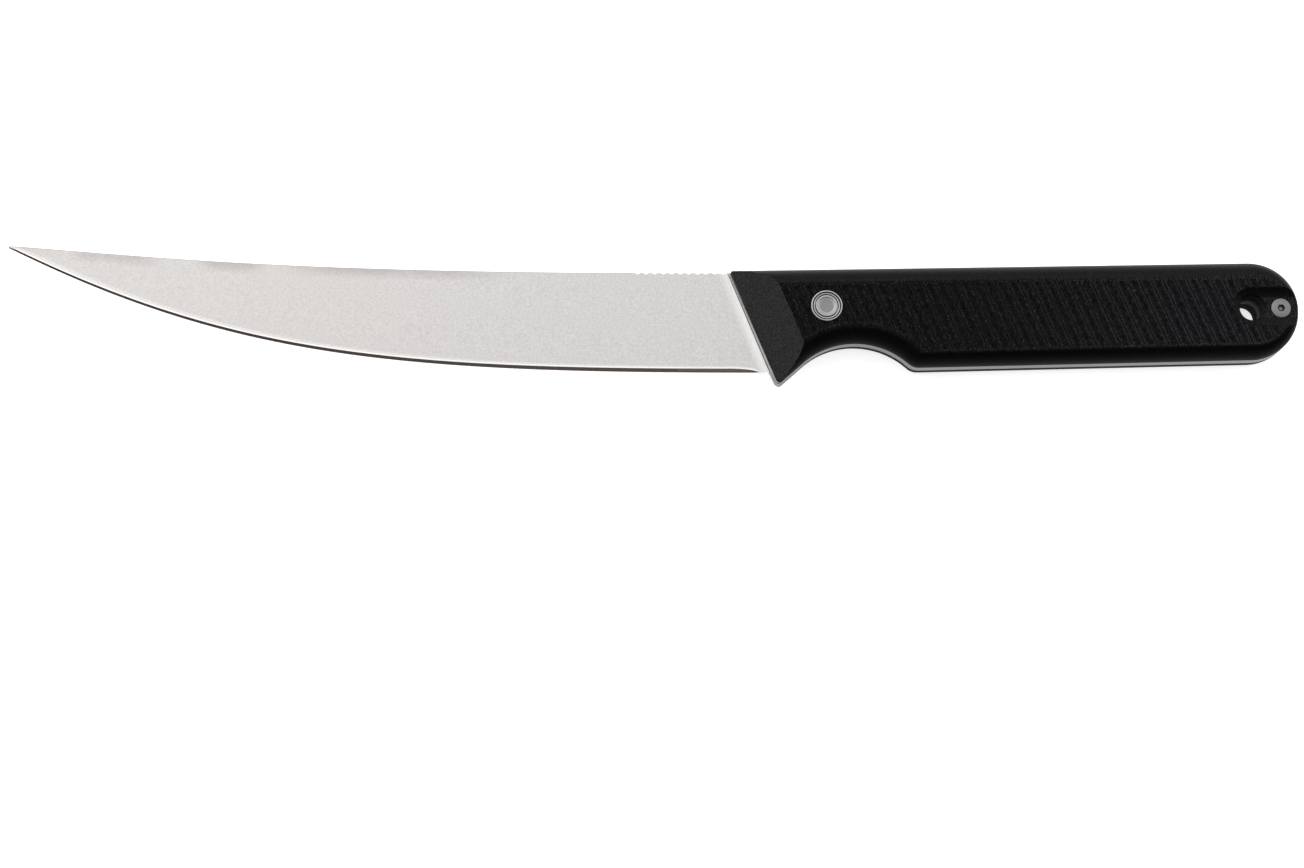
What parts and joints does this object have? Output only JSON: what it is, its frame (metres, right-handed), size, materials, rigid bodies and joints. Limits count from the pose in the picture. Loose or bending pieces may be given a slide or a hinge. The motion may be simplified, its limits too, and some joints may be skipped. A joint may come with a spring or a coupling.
{
  "type": "fillet knife",
  "caption": "Fixed-blade fillet knife with an upswept blade, thumb notches on the spine, a full tang and ribbed black scales with a finger notch and a lanyard hole.",
  "frame": {"origin": "centre of the knife's outline, on the surface that it lies on", "axes": "+X from the tip to the butt, +Y from the edge to the spine, +Z out of the left side, up from the surface"},
  "size_m": [0.2806, 0.0312, 0.0126],
  "materials": {
    "blade_steel": "stonewashed, matte",
    "laminate": "black fibre laminate, machined ribs",
    "collar_steel": "turned",
    "fastener_steel": "satin"
  },
  "bodies": {
    "root": {"blade": "blade_steel", "left_scale": "laminate", "right_scale": "laminate", "front_collar_left": "collar_steel", "front_collar_right": "collar_steel", "front_barrel_nut": "fastener_steel", "front_bolt": "fastener_steel", "rear_standoff": "fastener_steel", "rear_screw_left": "fastener_steel", "rear_screw_right": "fastener_steel"}
  },
  "joints": []
}
